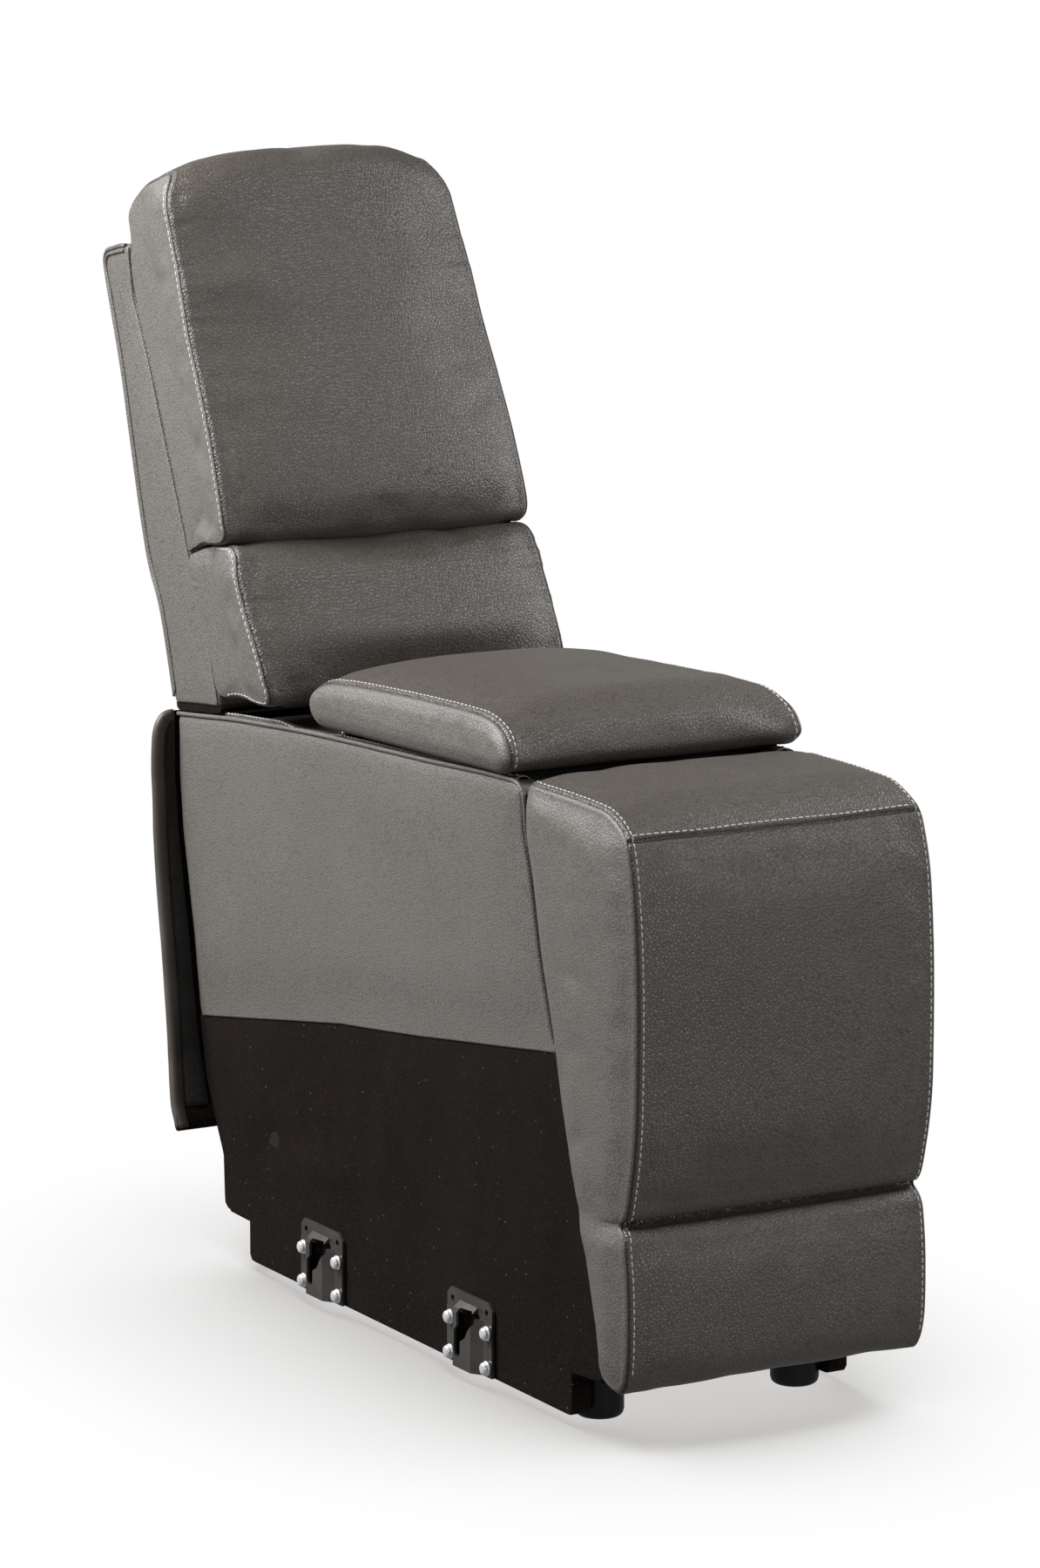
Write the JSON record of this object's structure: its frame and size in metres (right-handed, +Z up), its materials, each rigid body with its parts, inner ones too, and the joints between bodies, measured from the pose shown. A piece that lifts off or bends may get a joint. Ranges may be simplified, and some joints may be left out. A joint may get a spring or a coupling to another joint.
{
  "type": "reclining sectional storage console",
  "caption": "Narrow upholstered console module of a reclining sectional, with a lift-up padded lid over a storage well and a knock-down reclined back.",
  "frame": {"origin": "centre of the bounding box's footprint, on the floor under the feet", "axes": "+Z up; -Y is the front, the padded face; +X is the viewer's right when facing the front"},
  "size_m": [0.372, 1.048, 1.085],
  "materials": {
    "leather_grey": "fine pebble grain, soft satin",
    "cloth_black": "nonwoven, matte",
    "plywood": "raw sanded plywood",
    "well_lining": "board lined with black nonwoven",
    "plastic_black": "moulded, semi-gloss",
    "steel_black": "black electrocoat",
    "zinc": "bright zinc plate",
    "webbing": "woven elastic webbing"
  },
  "bodies": {
    "base": {"side_leather_left": "leather_grey", "side_leather_right": "leather_grey", "front_deck": "leather_grey", "rear_deck": "leather_grey", "front_pad": "leather_grey", "rear_skirt": "leather_grey", "side_cloth_left": "cloth_black", "side_cloth_right": "cloth_black", "bottom_dust_cloth": "cloth_black", "side_panel_left": "plywood", "side_panel_right": "plywood", "front_foot_board": "plywood", "rear_foot_board": "plywood", "front_rail": "plywood", "rear_rail_lower": "plywood", "rear_rail_upper": "plywood", "pad_board": "plywood", "well_front_wall": "well_lining", "well_rear_wall": "well_lining", "well_side_left": "well_lining", "well_side_right": "well_lining", "well_floor": "well_lining", "foot_front_left": "plastic_black", "foot_front_right": "plastic_black", "foot_rear_left": "plastic_black", "foot_rear_right": "plastic_black", "lid_rest_strip": "plastic_black", "keyhole_bracket_front": "steel_black", "keyhole_bracket_rear": "steel_black", "stud_plate_front": "steel_black", "stud_plate_rear": "steel_black", "hinge_fixed_leaf": "steel_black", "receiver_left": "steel_black", "receiver_right": "steel_black", "bracket_bolt_front_1": "zinc", "bracket_bolt_front_2": "zinc", "bracket_bolt_front_3": "zinc", "bracket_bolt_front_4": "zinc", "bracket_bolt_rear_1": "zinc", "bracket_bolt_rear_2": "zinc", "bracket_bolt_rear_3": "zinc", "bracket_bolt_rear_4": "zinc", "hinge_pin": "zinc"},
    "lid": {"lid_cushion": "leather_grey", "lid_board": "plywood", "hinge_lid_leaf": "steel_black"},
    "back": {"back_shell": "leather_grey", "back_upright_left": "plywood", "back_upright_right": "plywood", "back_rail_bottom": "plywood", "back_rail_top": "plywood", "back_webbing": "webbing", "head_cushion": "leather_grey", "lumbar_cushion": "leather_grey", "back_post_left": "steel_black", "back_post_right": "steel_black"},
    "lever_left": {"lock_lever_left": "steel_black"},
    "lever_right": {"lock_lever_right": "steel_black"}
  },
  "joints": [
    {"name": "lid_hinge", "type": "hinge", "parent": "base", "child": "lid", "pos_m": [0, 0.081, 0.5566], "axis": [-1, 0, 0], "range_deg": [0, 70]},
    {"name": "back_lift_off", "type": "slide", "parent": "base", "child": "back", "axis": [0, 0.3239, 0.9461], "range_m": [0, 0.09]},
    {"name": "lock_lever_left_turn", "type": "hinge", "parent": "base", "child": "lever_left", "pos_m": [-0.1117, 0.34866, 0.48099], "axis": [0, -0.9461, 0.3239], "range_deg": [0, 60]},
    {"name": "lock_lever_right_turn", "type": "hinge", "parent": "base", "child": "lever_right", "pos_m": [0.1117, 0.34866, 0.48099], "axis": [0, 0.9461, -0.3239], "range_deg": [0, 60]}
  ]
}
